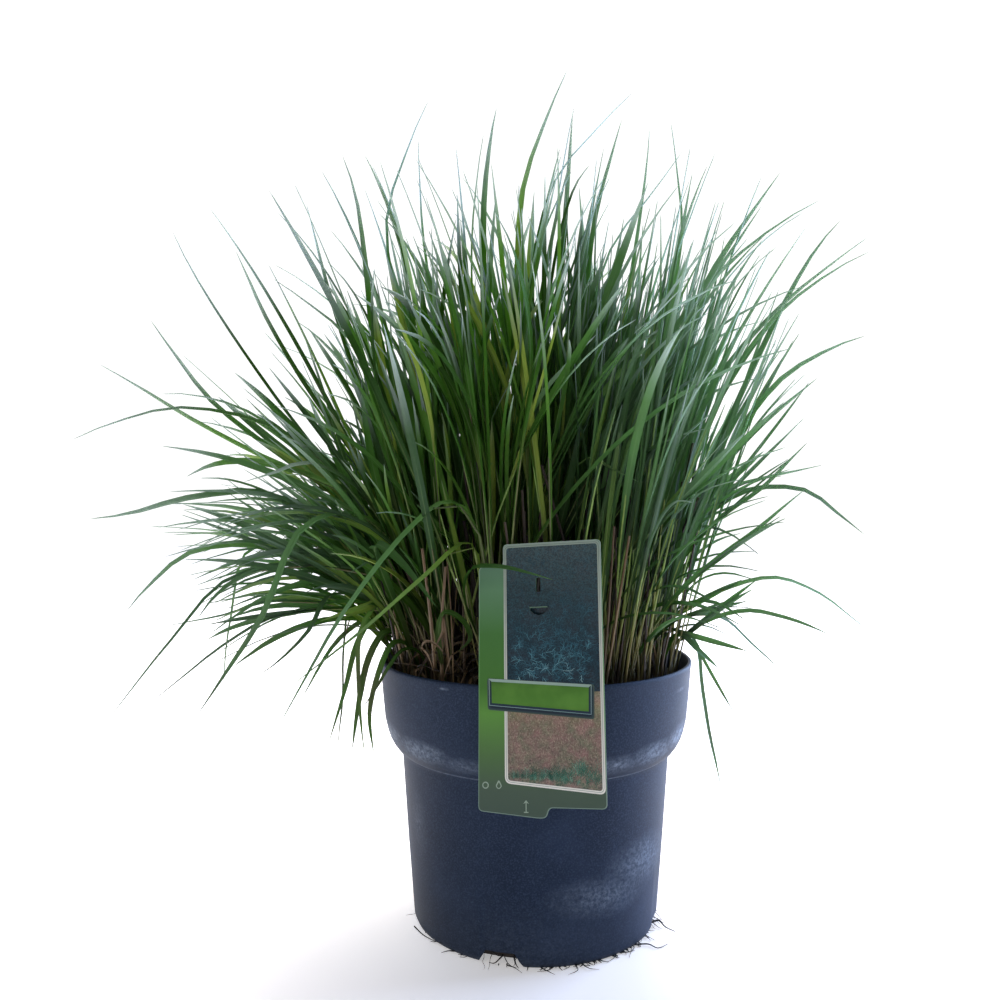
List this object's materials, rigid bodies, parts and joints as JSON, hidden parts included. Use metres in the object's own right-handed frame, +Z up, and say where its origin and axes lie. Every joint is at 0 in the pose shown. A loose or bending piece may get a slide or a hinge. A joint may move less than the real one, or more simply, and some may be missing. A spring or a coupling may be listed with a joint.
{
  "type": "potted switchgrass",
  "caption": "Clump of switchgrass in a round nursery pot, with arching green leaves, dry stubble, root ball and a blank plant label on the rim.",
  "frame": {"origin": "middle of the pot's central foot, on the surface it stands on", "axes": "+Z up along the pot's axis, -Y towards the side that carries the label"},
  "size_m": [0.5967, 0.4609, 0.655],
  "materials": {
    "pot": "satin moulded polypropylene, scuffed at the shoulder",
    "compost": "dark potting compost bound by fine roots",
    "root": "dark fibrous root",
    "label": "printed plastic sheet, blank of lettering",
    "leaf": "living grass blade, slightly glaucous",
    "straw": "dry straw stem"
  },
  "bodies": {
    "root": {"pot": "pot", "root_ball": "compost", "circling_roots": "root", "plant_label": "label", "green_tuft_01": "leaf", "green_tuft_02": "leaf", "green_tuft_03": "leaf", "green_tuft_04": "leaf", "green_tuft_05": "leaf", "green_tuft_06": "leaf", "green_tuft_07": "leaf", "green_tuft_08": "leaf", "green_tuft_09": "leaf", "green_tuft_10": "leaf", "green_tuft_11": "leaf", "green_tuft_12": "leaf", "green_tuft_13": "leaf", "green_tuft_14": "leaf", "green_tuft_15": "leaf", "green_tuft_16": "leaf", "green_tuft_17": "leaf", "green_tuft_18": "leaf", "green_tuft_19": "leaf", "dry_tuft_01": "straw", "dry_tuft_02": "straw", "dry_tuft_03": "straw", "dry_tuft_04": "straw", "dry_tuft_05": "straw", "dry_tuft_06": "straw", "dry_tuft_07": "straw", "dry_tuft_08": "straw"}
  },
  "joints": []
}
